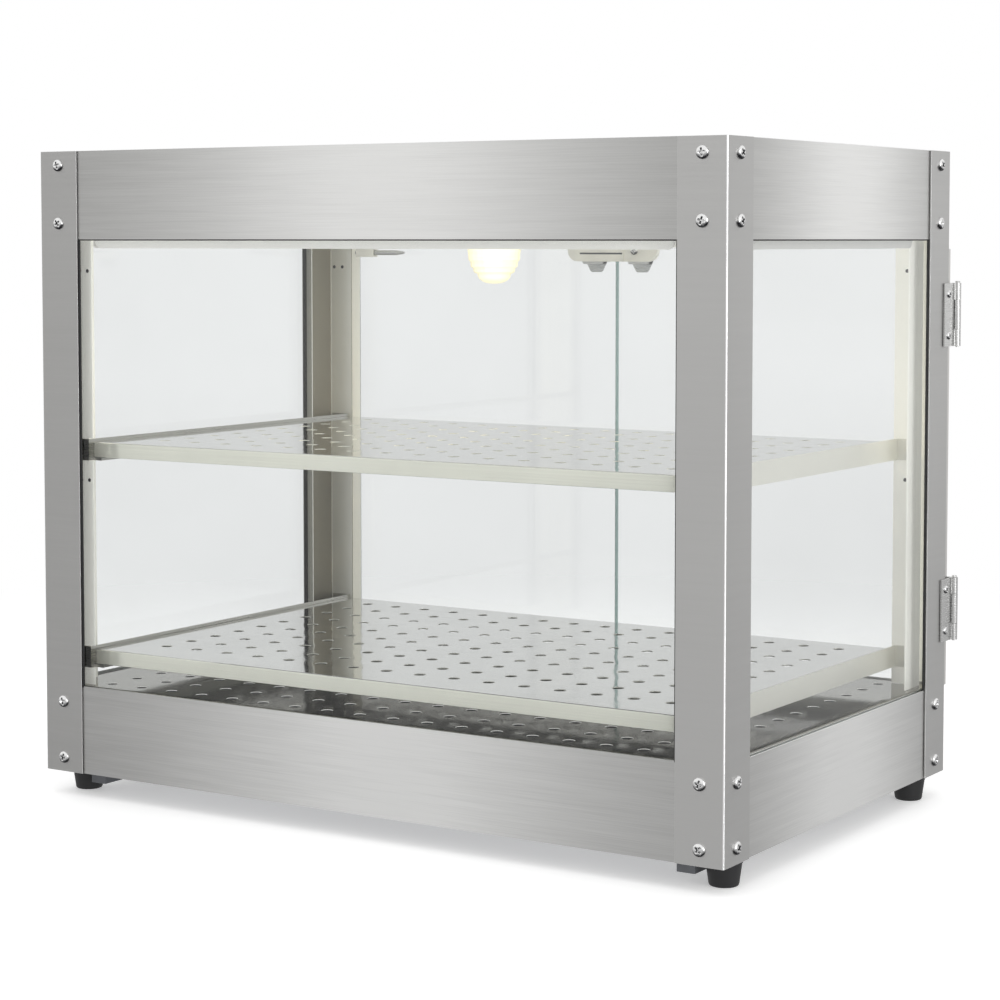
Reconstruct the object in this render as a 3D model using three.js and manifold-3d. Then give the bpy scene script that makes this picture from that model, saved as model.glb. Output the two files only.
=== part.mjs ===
// Heated counter-top food display case: a sheet-steel frame with glass on the front and sides,
// two hinged glass doors at the back, two lift-out shelves and a heater in the base.
//
// Millimetres, +Z up. The case is laid out in its own frame: x runs to the customer's right from
// the left face, y runs back from the front face, z runs up from the lower edge of the steel body.
// The exported group then moves that frame so that its origin is the centre of the outline, on the
// surface that the feet stand on.

import * as THREE from "three";
import { mergeVertices } from "three/addons/utils/BufferGeometryUtils.js";
import Module from "manifold-3d";

// Driving dimensions
const WIDTH = 610;
const DEPTH = 381;
const BODY_HEIGHT = 493;
const FOOT_DROP = 19;
const HOOD_HEIGHT = 69;
const BASE_HEIGHT = 70;
const POST_FLANGE = 38;
const POST_SHEET = 1.2;
const SHEET = 1;
const GAP = 0.3;
const GLASS = 4;
const GLASS_INSET = 3;
const INNER_INSET = 15;
const INNER_FLANGE_X = 24;
const INNER_FLANGE_Y = 29;
const PANEL_INSET = 9;
const SHELF_TOPS = { upper: 263.3, lower: 97.5 };
const SHELF_SIDE = 37;
const SHELF_FRONT = 19;
const SHELF_BACK = 362.5;
const SHELF_FLANGE = 12;
const RAIL_RISE = 2.5;
const DOOR_GLASS = 5;
const DOOR_FRONT = DEPTH + 0.5;
const DOOR_DEPTH = 9;
const DOOR_BOTTOM = 67.5;
const DOOR_TOP = 416.5;
const DOOR_EDGE = 3;
const STILE_WIDTH = 25;
const HINGE_TOPS = { upper: 389.5, lower: 154.5 };
const HINGE_HEIGHT = 50;
const HINGE_SIDE = 3;
const HINGE_BEHIND = 10;
const KNUCKLE_RADIUS = 2.9;
const PIN_RADIUS = 1.3;
const LAMP_X = WIDTH / 2;
const LAMP_Y = 190;
const KNOB_X = 470;
const SWITCH_X = 410;
const GLAND_X = 80;
const CONTROL_Z = 35;
const KNOB_BACK = DEPTH + 17;
const ROUND_SIDES = 32;
const SCREW_IN = 19;
const SCREW_HEIGHTS = [11.5, 56.5, 436.5, 482];
const SCREW_HEAD = 2;
const SCREW_RADIUS = 3.75;

// Levels worked out from the driving dimensions
const HOOD_BOTTOM = BODY_HEIGHT - HOOD_HEIGHT;
const CEILING = HOOD_BOTTOM + 1;
const LIP_BOTTOM = HOOD_BOTTOM - 7;
const DECK_TOP = BASE_HEIGHT - 1;
const SKIN_INSET = POST_SHEET + GAP;
const PANEL_BACK = DEPTH - 5;

const wasm = await Module();
wasm.setup();

const STEEL = new THREE.MeshStandardMaterial({ color: 0xb9babb, roughness: 0.35, metalness: 1 });
const INNER_STEEL = new THREE.MeshStandardMaterial({ color: 0xb5b2a8, roughness: 0.3, metalness: 1 });
const MIRROR_STEEL = new THREE.MeshStandardMaterial({ color: 0xd8dadc, roughness: 0.08, metalness: 1 });
const ZINC = new THREE.MeshStandardMaterial({ color: 0x8b8d90, roughness: 0.5, metalness: 1 });
const HINGE_STEEL = new THREE.MeshStandardMaterial({ color: 0xc6c8ca, roughness: 0.2, metalness: 1 });
const CLEAR_GLASS = new THREE.MeshStandardMaterial({
  color: 0xe8f2f0,
  roughness: 0.02,
  metalness: 0,
  transparent: true,
  opacity: 0.2,
});
const BLACK_RUBBER = new THREE.MeshStandardMaterial({ color: 0x1c1c1d, roughness: 0.8, metalness: 0 });
const BLACK_PLASTIC = new THREE.MeshStandardMaterial({ color: 0x18181a, roughness: 0.4, metalness: 0 });
const RED_PLASTIC = new THREE.MeshStandardMaterial({ color: 0xa3181a, roughness: 0.3, metalness: 0 });
const BEIGE_PLASTIC = new THREE.MeshStandardMaterial({ color: 0xd9d3bf, roughness: 0.5, metalness: 0 });
const LAMP_GLASS = new THREE.MeshStandardMaterial({ color: 0xfff0c8, roughness: 0.2, metalness: 0 });
const HEATER_METAL = new THREE.MeshStandardMaterial({ color: 0x5c5a57, roughness: 0.6, metalness: 1 });

// Solids and meshes

function solidOf(geometry) {
  const bare = geometry.clone();
  bare.deleteAttribute("normal");
  bare.deleteAttribute("uv");
  const merged = mergeVertices(bare, 1e-4);
  const vertProperties = Float32Array.from(merged.attributes.position.array);
  const triVerts = Uint32Array.from(merged.index.array);
  return new wasm.Manifold(new wasm.Mesh({ numProp: 3, vertProperties, triVerts }));
}

function geometryOf(solid) {
  const { vertProperties, triVerts } = solid.getMesh();
  const geometry = new THREE.BufferGeometry();
  geometry.setAttribute("position", new THREE.BufferAttribute(vertProperties, 3));
  geometry.setIndex(new THREE.BufferAttribute(triVerts, 1));
  geometry.computeVertexNormals();
  return geometry;
}

function joined(...solids) {
  return solids.reduce((whole, piece) => whole.add(piece));
}

function cut(solid, ...holes) {
  return holes.reduce((rest, hole) => rest.subtract(hole), solid);
}

function block([x0, x1], [y0, y1], [z0, z1]) {
  const box = new THREE.BoxGeometry(x1 - x0, y1 - y0, z1 - z0);
  box.translate((x0 + x1) / 2, (y0 + y1) / 2, (z0 + z1) / 2);
  return solidOf(box);
}

function extruded(shape, length) {
  return new THREE.ExtrudeGeometry(shape, { depth: length, bevelEnabled: false, curveSegments: 6 });
}

// An outline in x and y, raised from z0 to z1
function prismZ(shape, [z0, z1]) {
  return solidOf(extruded(shape, z1 - z0).translate(0, 0, z0));
}

// An outline in x and z, drawn out from y0 to y1
function prismY(shape, [y0, y1]) {
  return solidOf(extruded(shape, y1 - y0).rotateX(Math.PI / 2).translate(0, y1, 0));
}

// An outline in y and z, drawn out from x0 to x1
function prismX(shape, [x0, x1]) {
  const turned = new THREE.Matrix4().set(0, 0, 1, x0, 1, 0, 0, 0, 0, 1, 0, 0, 0, 0, 0, 1);
  return solidOf(extruded(shape, x1 - x0).applyMatrix4(turned));
}

function outline(points) {
  return new THREE.Shape(points.map(([a, b]) => new THREE.Vector2(a, b)));
}

// A round bar or a cone about an axis through the point (a, b) of the other two axes
function roundX(y, z, [x0, x1], radius, endRadius = radius, sides = ROUND_SIDES) {
  const bar = new THREE.CylinderGeometry(endRadius, radius, x1 - x0, sides);
  return solidOf(bar.rotateZ(-Math.PI / 2).translate((x0 + x1) / 2, y, z));
}

function roundY(x, z, [y0, y1], radius, endRadius = radius, sides = ROUND_SIDES) {
  const bar = new THREE.CylinderGeometry(endRadius, radius, y1 - y0, sides);
  return solidOf(bar.translate(x, (y0 + y1) / 2, z));
}

function roundZ(x, y, [z0, z1], radius, endRadius = radius, sides = ROUND_SIDES) {
  const bar = new THREE.CylinderGeometry(endRadius, radius, z1 - z0, sides);
  return solidOf(bar.rotateX(Math.PI / 2).translate(x, y, (z0 + z1) / 2));
}

// A profile of [radius, height] points, closed on the vertical axis through (x, y)
function turned(profile, x, y) {
  const points = profile.map(([radius, height]) => new THREE.Vector2(radius, height));
  return solidOf(new THREE.LatheGeometry(points, ROUND_SIDES).rotateX(Math.PI / 2).translate(x, y, 0));
}

// The same piece on the other side of the case: axis 0 swaps left and right, axis 1 front and back
function mirrored(geometry, axis) {
  const size = axis === 0 ? WIDTH : DEPTH;
  const copy = geometry.clone();
  const position = copy.attributes.position;
  for (let i = 0; i < position.count; i += 1) {
    position.setComponent(i, axis, size - position.getComponent(i, axis));
  }
  const corners = copy.index.array;
  for (let i = 0; i < corners.length; i += 3) {
    [corners[i], corners[i + 1]] = [corners[i + 1], corners[i]];
  }
  copy.computeVertexNormals();
  return copy;
}

const displayCase = new THREE.Group();

function place(name, geometry, material) {
  const mesh = new THREE.Mesh(geometry, material);
  mesh.name = name;
  displayCase.add(mesh);
}

function placeSolid(name, solid, material) {
  place(name, geometryOf(solid), material);
}

function placePair(name, solid, material) {
  const left = geometryOf(solid);
  place(`${name}_left`, left, material);
  place(`${name}_right`, mirrored(left, 0), material);
}

function placeCorners(name, geometries, material) {
  place(`${name}_front_left`, geometries.front, material);
  place(`${name}_front_right`, mirrored(geometries.front, 0), material);
  place(`${name}_rear_left`, geometries.rear, material);
  place(`${name}_rear_right`, mirrored(geometries.rear, 0), material);
}

// Frame

// An angle with one flange along x and one along y, its outer corner at (corner, corner)
function angleOutline(corner, flangeX, flangeY, sheet) {
  const bend = sheet + 0.8;
  const inner = bend - sheet;
  const shape = new THREE.Shape();
  shape.moveTo(corner + bend, corner);
  shape.lineTo(corner + flangeX, corner);
  shape.lineTo(corner + flangeX, corner + sheet);
  shape.lineTo(corner + bend, corner + sheet);
  shape.absarc(corner + bend, corner + bend, inner, -Math.PI / 2, -Math.PI, true);
  shape.lineTo(corner + sheet, corner + flangeY);
  shape.lineTo(corner, corner + flangeY);
  shape.lineTo(corner, corner + bend);
  shape.absarc(corner + bend, corner + bend, bend, Math.PI, Math.PI * 1.5, false);
  return shape;
}

// The heads of the screws that hold the skins stand out from both flanges of a post
function addCornerPosts() {
  const section = angleOutline(0, POST_FLANGE, POST_FLANGE, POST_SHEET);
  const reach = [-SCREW_HEAD, POST_SHEET / 2];
  const domed = SCREW_RADIUS * 0.75;
  const heads = SCREW_HEIGHTS.flatMap((z) => [
    roundY(SCREW_IN, z, reach, SCREW_RADIUS, domed, 16),
    roundX(SCREW_IN, z, reach, SCREW_RADIUS, domed, 16),
  ]);
  const front = geometryOf(joined(prismZ(section, [0, BODY_HEIGHT]), ...heads));
  placeCorners("corner_post", { front, rear: mirrored(front, 1) }, STEEL);
}

// Two pairs of small punched holes near one end of each bay, through the flange along x
function postHoles(across) {
  const through = [INNER_INSET - 1, INNER_INSET + SHEET + 1];
  return [399, 233].flatMap((z) => across.map((x) => roundY(x, z, through, 1.6, 1.6, 16)));
}

// A shelf rail's front tab passes through a notch in the front inner post's edge
function addInnerPosts() {
  const section = angleOutline(INNER_INSET, INNER_FLANGE_X, INNER_FLANGE_Y, SHEET);
  const post = prismZ(section, [DECK_TOP + GAP, CEILING - GAP]);
  const notches = Object.values(SHELF_TOPS).map((top) =>
    block([SHELF_SIDE - 2.4, 45], [INNER_INSET - 2, INNER_INSET + 1.6], [top - 15, top + RAIL_RISE + 0.5]),
  );
  const front = geometryOf(cut(post, ...notches, ...postHoles([27, 35])));
  const rear = mirrored(geometryOf(cut(post, ...postHoles([20, 29]))), 1);
  placeCorners("inner_post", { front, rear }, INNER_STEEL);
}

function rim([x0, x1], [y0, y1], [z0, z1], wall) {
  const inside = block([x0 + wall, x1 - wall], [y0 + wall, y1 - wall], [z0 - 1, z1 + 1]);
  return cut(block([x0, x1], [y0, y1], [z0, z1]), inside);
}

function addHood() {
  const across = [SKIN_INSET, WIDTH - SKIN_INSET];
  const along = [SKIN_INSET, DEPTH - SKIN_INSET];
  const walls = rim(across, along, [HOOD_BOTTOM, BODY_HEIGHT], SHEET);
  const roof = block(across, along, [BODY_HEIGHT - SHEET, BODY_HEIGHT]);
  placeSolid("top_hood", joined(walls, roof), STEEL);
}

// A hanging lip with its two lower corners rounded, from a to b along its length
function lipOutline([a, b], [z0, z1]) {
  const radius = 6;
  const shape = new THREE.Shape();
  shape.moveTo(a, z1);
  shape.absarc(a + radius, z0 + radius, radius, Math.PI, Math.PI * 1.5, false);
  shape.absarc(b - radius, z0 + radius, radius, -Math.PI / 2, 0, false);
  shape.lineTo(b, z1);
  return shape;
}

function addCeiling() {
  const across = [PANEL_INSET, WIDTH - PANEL_INSET];
  const plate = block(across, [PANEL_INSET, PANEL_BACK], [CEILING, CEILING + SHEET]);
  const lipZ = [LIP_BOTTOM, CEILING + SHEET / 2];
  const inset = 46;
  const frontInset = 12;
  const sideLip = lipOutline([inset, DEPTH - inset], lipZ);
  const frontLip = lipOutline([inset, WIDTH - inset], lipZ);
  const lips = [
    prismY(frontLip, [frontInset, frontInset + SHEET]),
    prismY(frontLip, [PANEL_BACK - SHEET, PANEL_BACK]),
    prismX(sideLip, [frontInset, frontInset + SHEET]),
    prismX(sideLip, [WIDTH - frontInset - SHEET, WIDTH - frontInset]),
  ];
  const lampHole = roundZ(LAMP_X, LAMP_Y, [CEILING - 1, CEILING + 2], 16);
  placeSolid("ceiling_panel", cut(joined(plate, ...lips), lampHole), INNER_STEEL);
}

function addBase() {
  const across = [SKIN_INSET, WIDTH - SKIN_INSET];
  const along = [SKIN_INSET, DEPTH - SKIN_INSET];
  const walls = rim(across, along, [0, BASE_HEIGHT], SHEET);
  const footFlange = rim(across, along, [0, SHEET], 14);
  const back = [DEPTH - 5, DEPTH];
  const shaftHole = roundY(KNOB_X, CONTROL_Z, back, 6.8);
  const glandHole = roundY(GLAND_X, CONTROL_Z, back, 8);
  const switchHole = block([SWITCH_X - 13.4, SWITCH_X + 13.4], back, [CONTROL_Z - 9.4, CONTROL_Z + 9.4]);
  placeSolid("base_skirt", cut(joined(walls, footFlange), shaftHole, glandHole, switchHole), STEEL);

  const inset = GLASS_INSET + 1;
  const plateZ = [SHEET + GAP, 2 * SHEET + GAP];
  placeSolid("base_plate", block([inset, WIDTH - inset], [inset, DEPTH - inset], plateZ), ZINC);

  const deckAcross = [PANEL_INSET, WIDTH - PANEL_INSET];
  const deckAlong = [PANEL_INSET, PANEL_BACK];
  const deckFlange = rim(deckAcross, deckAlong, [DECK_TOP - SHELF_FLANGE, DECK_TOP], SHEET);
  const deckPlate = block(deckAcross, deckAlong, [DECK_TOP - SHEET, DECK_TOP]);
  placeSolid("deck_panel", joined(deckFlange, deckPlate), MIRROR_STEEL);
}

function addUnderRails() {
  const across = [31.5, 46];
  const along = [18, DEPTH - 18];
  const wall = 1.2;
  const pan = cut(
    block(across, along, [-10.8, -GAP]),
    block([across[0] + wall, across[1] - wall], [along[0] + wall, along[1] - wall], [-10.8 + wall, 1]),
  );
  placePair("under_rail", pan, ZINC);
}

function addFeet() {
  const profile = [
    [0, -FOOT_DROP],
    [9.8, -FOOT_DROP],
    [10.6, -FOOT_DROP + 0.8],
    [13.3, -GAP],
    [0, -GAP],
  ];
  const front = geometryOf(turned(profile, 16.5, 32));
  placeCorners("foot", { front, rear: mirrored(front, 1) }, BLACK_RUBBER);
}

// Glass

function addFixedGlass() {
  const inner = GLASS_INSET + GLASS;
  const height = [62, HOOD_BOTTOM + 8];
  const frontPane = block([GLASS_INSET, WIDTH - GLASS_INSET], [GLASS_INSET, inner], height);
  placeSolid("glass_front", frontPane, CLEAR_GLASS);
  placePair("glass", block([GLASS_INSET, inner], [inner + GAP, PANEL_BACK], height), CLEAR_GLASS);
}

// Doors, hinges and catches

function addDoors() {
  const height = [DOOR_BOTTOM, DOOR_TOP];
  const glassFront = DOOR_FRONT + 2;
  const slotEnd = DOOR_EDGE + 2.4;
  const meeting = WIDTH / 2 - 0.25;
  const pane = block([slotEnd + 0.6, meeting], [glassFront, glassFront + DOOR_GLASS], height);
  placePair("door_glass", pane, CLEAR_GLASS);

  const outer = [DOOR_EDGE, DOOR_EDGE + STILE_WIDTH];
  const bar = block(outer, [DOOR_FRONT, DOOR_FRONT + DOOR_DEPTH], height);
  const slotDepth = [glassFront - GAP, glassFront + DOOR_GLASS + GAP];
  const slot = block([slotEnd, outer[1] + 1], slotDepth, [0, BODY_HEIGHT]);
  placePair("door_stile", cut(bar, slot), STEEL);
}

// A knuckle barrel round the hinge axis, between two heights, with the pin's bore through it
function knuckle(axisX, axisY, [z0, z1]) {
  const barrel = roundZ(axisX, axisY, [z0, z1], KNUCKLE_RADIUS, KNUCKLE_RADIUS, 24);
  return cut(barrel, roundZ(axisX, axisY, [z0 - 1, z1 + 1], PIN_RADIUS + 0.06, PIN_RADIUS + 0.06, 24));
}

function addHinges() {
  const axisX = -HINGE_SIDE;
  const axisY = DEPTH + HINGE_BEHIND;
  const clearance = KNUCKLE_RADIUS + GAP;
  const endKnuckle = 13;
  const leaf = 1.2;
  for (const [level, top] of Object.entries(HINGE_TOPS)) {
    const bottom = top - HINGE_HEIGHT;
    const middle = [bottom + endKnuckle, top - endKnuckle];
    const bore = roundZ(axisX, axisY, [bottom - 1, top + 1], PIN_RADIUS + 0.06, PIN_RADIUS + 0.06, 24);
    const roomX = [axisX - clearance, axisX + clearance];
    const room = block(roomX, [axisY - clearance, axisY + clearance], middle);

    const postPlate = block([-GAP - leaf, -GAP], [DEPTH - 12, axisY - 1], [bottom, top]);
    const postKnuckles = joined(
      knuckle(axisX, axisY, [bottom, middle[0]]),
      knuckle(axisX, axisY, [middle[1], top]),
    );
    const postLeaf = joined(cut(postPlate, room), postKnuckles);
    placePair(`hinge_post_leaf_${level}`, cut(postLeaf, bore), HINGE_STEEL);

    const leafFront = DOOR_FRONT + DOOR_DEPTH + GAP;
    const doorMiddle = [middle[0] + GAP, middle[1] - GAP];
    const leafDepth = [leafFront, leafFront + leaf];
    const doorPlate = block([axisX + clearance, DOOR_EDGE + STILE_WIDTH - 4], leafDepth, [bottom, top]);
    const neck = block([axisX, axisX + clearance + 1], leafDepth, doorMiddle);
    const doorLeaf = joined(doorPlate, neck, knuckle(axisX, axisY, doorMiddle));
    placePair(`hinge_door_leaf_${level}`, cut(doorLeaf, bore), HINGE_STEEL);

    const shank = roundZ(axisX, axisY, [bottom - 0.8, top + GAP], PIN_RADIUS, PIN_RADIUS, 24);
    const head = roundZ(axisX, axisY, [top + GAP, top + 1.5], 2.2, 1.8, 24);
    placePair(`hinge_pin_${level}`, joined(shank, head), HINGE_STEEL);
  }
}

function addCatches() {
  const middle = WIDTH / 2;
  const bodyY = [PANEL_BACK + GAP, DEPTH + 0.2];
  const bodyX = [middle - 44, middle + 44];
  const bodyZ = [HOOD_BOTTOM - 19, HOOD_BOTTOM - GAP];
  const seatX = [bodyX[0] + 4, bodyX[1] - 4];
  const seat = block(seatX, [bodyY[1] - 3, bodyY[1] + 1], [bodyZ[0] + 3, bodyZ[0] + 10]);
  placeSolid("door_catch_body", cut(block(bodyX, bodyY, bodyZ), seat), BEIGE_PLASTIC);
  const magnetX = [bodyX[0] + 4 + GAP, bodyX[1] - 4 - GAP];
  const magnetZ = [bodyZ[0] + 3 + GAP, bodyZ[0] + 10 - GAP];
  placeSolid("door_catch_magnet", block(magnetX, [bodyY[1] - 3 + GAP, bodyY[1] + 0.5], magnetZ), ZINC);

  const sheet = 0.9;
  const glassFront = DOOR_FRONT + 2;
  const front = glassFront - GAP - sheet;
  const back = glassFront + DOOR_GLASS + GAP;
  const top = DOOR_TOP + GAP;
  const section = outline([
    [front, top - 14],
    [front + sheet, top - 14],
    [front + sheet, top],
    [back, top],
    [back, top - 21],
    [back + sheet + 0.3, top - 21],
    [back + sheet + 0.3, top + sheet],
    [front, top + sheet],
  ]);
  const centre = middle - 22.5;
  const tab = outline([
    [centre - 10.5, top + 2],
    [centre - 10.5, top - 12],
    [centre - 6, top - 20],
    [centre - 4.5, top - 21],
    [centre + 4.5, top - 21],
    [centre + 6, top - 20],
    [centre + 10.5, top - 12],
    [centre + 10.5, top + 2],
  ]);
  const clip = prismX(section, [centre - 12, centre + 12]).intersect(prismY(tab, [DEPTH - 2, DEPTH + 20]));
  placePair("door_clip", clip, HINGE_STEEL);
}

// Shelves

function addShelves() {
  for (const [level, top] of Object.entries(SHELF_TOPS)) {
    const across = [SHELF_SIDE, WIDTH - SHELF_SIDE];
    const along = [SHELF_FRONT, SHELF_BACK];
    const flange = rim(across, along, [top - SHELF_FLANGE, top], SHEET);
    const plate = block(across, along, [top - SHEET, top]);
    placeSolid(`${level}_shelf`, joined(flange, plate), MIRROR_STEEL);

    const sheet = 1.2;
    const web = [SHELF_SIDE - 0.8 - sheet, SHELF_SIDE - 0.8];
    const railZ = [top - 14.5, top + RAIL_RISE];
    const tabX = [INNER_INSET + 3, web[1]];
    const frontTab = INNER_INSET - 1.5;
    const backTab = DEPTH - INNER_INSET - SHEET - GAP;
    const rail = joined(
      block(web, [frontTab, backTab], railZ),
      block([web[0], web[1] + 9], [INNER_INSET + 3, backTab], [railZ[0], top - SHELF_FLANGE - GAP]),
      block(tabX, [frontTab, frontTab + sheet], railZ),
      block(tabX, [backTab - sheet, backTab], railZ),
    );
    placePair(`${level}_shelf_rail`, rail, INNER_STEEL);
  }
}

// Lamp and temperature sensor under the ceiling

function addLamp() {
  const socketProfile = [
    [0, CEILING + 3],
    [7.2, CEILING + 3],
    [7.2, CEILING - 2.4],
    [24, CEILING - 2.4],
    [24, CEILING - GAP],
    [15.5, CEILING - GAP],
    [15.5, CEILING + 30],
    [12, CEILING + 32],
    [0, CEILING + 32],
  ];
  placeSolid("lamp_socket", turned(socketProfile, LAMP_X, LAMP_Y), BEIGE_PLASTIC);

  const lensTop = CEILING - 2.4 - GAP;
  const lensBottom = 389;
  const lensProfile = [
    [0, lensBottom],
    [8, lensBottom + 0.6],
    [13.5, lensBottom + 3],
    [16.5, lensBottom + 7],
    [19.5, lensBottom + 18],
    [21, lensTop - 6],
    [21, lensTop],
    [19.4, lensTop],
    [19.4, lensTop - 6],
    [17.9, lensBottom + 18],
    [15, lensBottom + 8],
    [12.4, lensBottom + 4.5],
    [7.6, lensBottom + 2.2],
    [0, lensBottom + 1.7],
  ];
  placeSolid("lamp_lens", turned(lensProfile, LAMP_X, LAMP_Y), LAMP_GLASS);

  const bulbBottom = 394;
  const bulbProfile = [
    [0, bulbBottom],
    [4.5, bulbBottom + 1],
    [7.8, bulbBottom + 4],
    [8.8, bulbBottom + 8.5],
    [7.8, bulbBottom + 13],
    [6.2, bulbBottom + 17],
    [6.2, CEILING + 2.6],
    [0, CEILING + 2.6],
  ];
  placeSolid("lamp_bulb", turned(bulbProfile, LAMP_X, LAMP_Y), LAMP_GLASS);
}

function addSensor() {
  const y = 370.5;
  const z = HOOD_BOTTOM - 12;
  const clip = block([43, 62], [y - 3.8, y + 3.8], [z - 4, CEILING - GAP]);
  placeSolid("sensor_clip", cut(clip, roundX(y, z, [40, 65], 2.6, 2.6, 20)), BEIGE_PLASTIC);
  const stem = roundX(y, z, [41, 86], 2.2, 2.2, 20);
  const tip = roundX(y, z, [86, 94], 2.2, 0.8, 20);
  placeSolid("sensor_probe", joined(stem, tip), HINGE_STEEL);
}

// Heater, wiring and controls in the base

// Straight legs across the base, joined by half turns
function heaterPath() {
  const legs = 4;
  const pitch = 90;
  const firstY = 190 - (pitch * (legs - 1)) / 2;
  const [left, right] = [110, 500];
  const bulge = (pitch / 2) * (4 / 3);
  const path = new THREE.CurvePath();
  for (let leg = 0; leg < legs; leg += 1) {
    const y = firstY + leg * pitch;
    const [from, to] = leg % 2 === 0 ? [right, left] : [left, right];
    path.add(new THREE.LineCurve3(new THREE.Vector3(from, y, 34), new THREE.Vector3(to, y, 34)));
    if (leg < legs - 1) {
      const side = to === left ? -bulge : bulge;
      path.add(
        new THREE.CubicBezierCurve3(
          new THREE.Vector3(to, y, 34),
          new THREE.Vector3(to + side, y, 34),
          new THREE.Vector3(to + side, y + pitch, 34),
          new THREE.Vector3(to, y + pitch, 34),
        ),
      );
    }
  }
  return path;
}

function addHeater() {
  const section = new THREE.Shape();
  section.absarc(0, 0, 4, 0, Math.PI * 2, false);
  const tube = new THREE.ExtrudeGeometry(section, {
    steps: 76,
    curveSegments: 5,
    extrudePath: heaterPath(),
    bevelEnabled: false,
  });
  placeSolid("heating_element", solidOf(tube), HEATER_METAL);
}

function addTerminalBlock() {
  const housing = block([150, 198], [322, 340], [2 * SHEET + 2 * GAP, 20]);
  const ways = [162, 174, 186].map((x) => roundY(x, 12, [320, 342], 3, 3, 16));
  placeSolid("terminal_block", cut(housing, ...ways), BEIGE_PLASTIC);
}

function addThermostat() {
  const body = block([KNOB_X - 18, KNOB_X + 18], [343, 374], [CONTROL_Z - 17, CONTROL_Z + 17]);
  const bush = roundY(KNOB_X, CONTROL_Z, [373, DEPTH - 1.2], 6.4);
  const shaft = roundY(KNOB_X, CONTROL_Z, [373, KNOB_BACK - 5], 3);
  placeSolid("thermostat_body", joined(body, bush, shaft), BLACK_PLASTIC);

  const skirtFront = DEPTH - 0.6;
  const skirt = roundY(KNOB_X, CONTROL_Z, [skirtFront, skirtFront + 3.5], 20, 19);
  const grip = roundY(KNOB_X, CONTROL_Z, [skirtFront + 3, KNOB_BACK], 15, 13.5);
  const pointer = block([KNOB_X - 1.2, KNOB_X + 1.2], [KNOB_BACK - 12, KNOB_BACK], [
    CONTROL_Z + 4,
    CONTROL_Z + 16.5,
  ]);
  const bore = roundY(KNOB_X, CONTROL_Z, [skirtFront - 1, KNOB_BACK - 4.5], 3.3);
  placeSolid("thermostat_knob", cut(joined(skirt, grip, pointer), bore), BLACK_PLASTIC);
}

// The rocker is drawn level, then tipped to its off position about its pivot
function addSwitch() {
  const pivotY = 377;
  const face = DEPTH + 0.8;
  const centred = (halfX, along, halfZ) =>
    block([SWITCH_X - halfX, SWITCH_X + halfX], along, [CONTROL_Z - halfZ, CONTROL_Z + halfZ]);
  const bezel = centred(15.5, [DEPTH - 1.2, face], 11.5);
  const box = centred(13, [354, DEPTH - 1], 9);
  const pocket = centred(11, [370, face + 1], 8);
  placeSolid("switch_body", cut(joined(bezel, box), pocket), BLACK_PLASTIC);

  const half = 6.4;
  const tip = THREE.MathUtils.degToRad(8);
  const rocker = new THREE.Shape();
  rocker.moveTo(5.6, half);
  rocker.lineTo(-1, half);
  rocker.absarc(0, 0, half, Math.PI * 0.55, Math.PI * 1.45, false);
  rocker.lineTo(-1, -half);
  rocker.lineTo(5.6, -half);
  rocker.lineTo(4.6, 0);
  const level = geometryOf(prismX(rocker, [SWITCH_X - 10.5, SWITCH_X + 10.5]));
  level.rotateX(tip).translate(0, pivotY, CONTROL_Z);
  placeSolid("power_rocker", solidOf(level), RED_PLASTIC);
}

function addCableGland() {
  const flange = roundY(GLAND_X, CONTROL_Z, [DEPTH - 1.2, DEPTH + 3], 11, 10.5, 6);
  const neck = roundY(GLAND_X, CONTROL_Z, [368, DEPTH], 7.6);
  const dome = roundY(GLAND_X, CONTROL_Z, [DEPTH + 2.5, DEPTH + 14], 9, 6.2);
  const nut = roundY(GLAND_X, CONTROL_Z, [370, 376], 11.5, 11.5, 6);
  const bore = roundY(GLAND_X, CONTROL_Z, [360, DEPTH + 20], 4);
  placeSolid("cable_gland", cut(joined(flange, neck, dome, nut), bore), BLACK_PLASTIC);
}

addCornerPosts();
addInnerPosts();
addHood();
addCeiling();
addBase();
addUnderRails();
addFeet();
addFixedGlass();
addDoors();
addHinges();
addCatches();
addShelves();
addLamp();
addSensor();
addHeater();
addTerminalBlock();
addThermostat();
addSwitch();
addCableGland();

displayCase.position.set(-WIDTH / 2, (SCREW_HEAD - KNOB_BACK) / 2, FOOT_DROP);

export default displayCase;
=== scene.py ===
"""A heated countertop display case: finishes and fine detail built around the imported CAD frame.

Lengths given to at() and the builders are millimetres from the case's own corner: X runs right from
the left face, Y back from the front face and Z up from the lower edge of the body.
"""

import math
import random

import bmesh
import bpy
from mathutils import Matrix, Vector


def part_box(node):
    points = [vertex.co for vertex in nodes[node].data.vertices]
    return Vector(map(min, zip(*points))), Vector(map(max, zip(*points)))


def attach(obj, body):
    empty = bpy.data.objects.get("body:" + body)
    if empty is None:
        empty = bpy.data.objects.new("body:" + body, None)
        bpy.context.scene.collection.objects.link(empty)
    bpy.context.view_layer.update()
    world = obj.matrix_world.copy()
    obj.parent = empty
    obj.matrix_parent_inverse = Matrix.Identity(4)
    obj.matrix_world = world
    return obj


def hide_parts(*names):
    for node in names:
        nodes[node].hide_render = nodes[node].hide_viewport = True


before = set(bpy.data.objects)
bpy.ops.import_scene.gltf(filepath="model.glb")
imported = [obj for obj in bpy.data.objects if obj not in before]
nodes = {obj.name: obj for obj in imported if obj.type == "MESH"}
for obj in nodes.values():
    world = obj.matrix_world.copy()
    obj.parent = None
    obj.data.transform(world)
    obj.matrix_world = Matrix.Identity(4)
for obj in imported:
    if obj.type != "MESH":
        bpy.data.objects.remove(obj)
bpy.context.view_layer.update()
scene = bpy.context.scene

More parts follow.
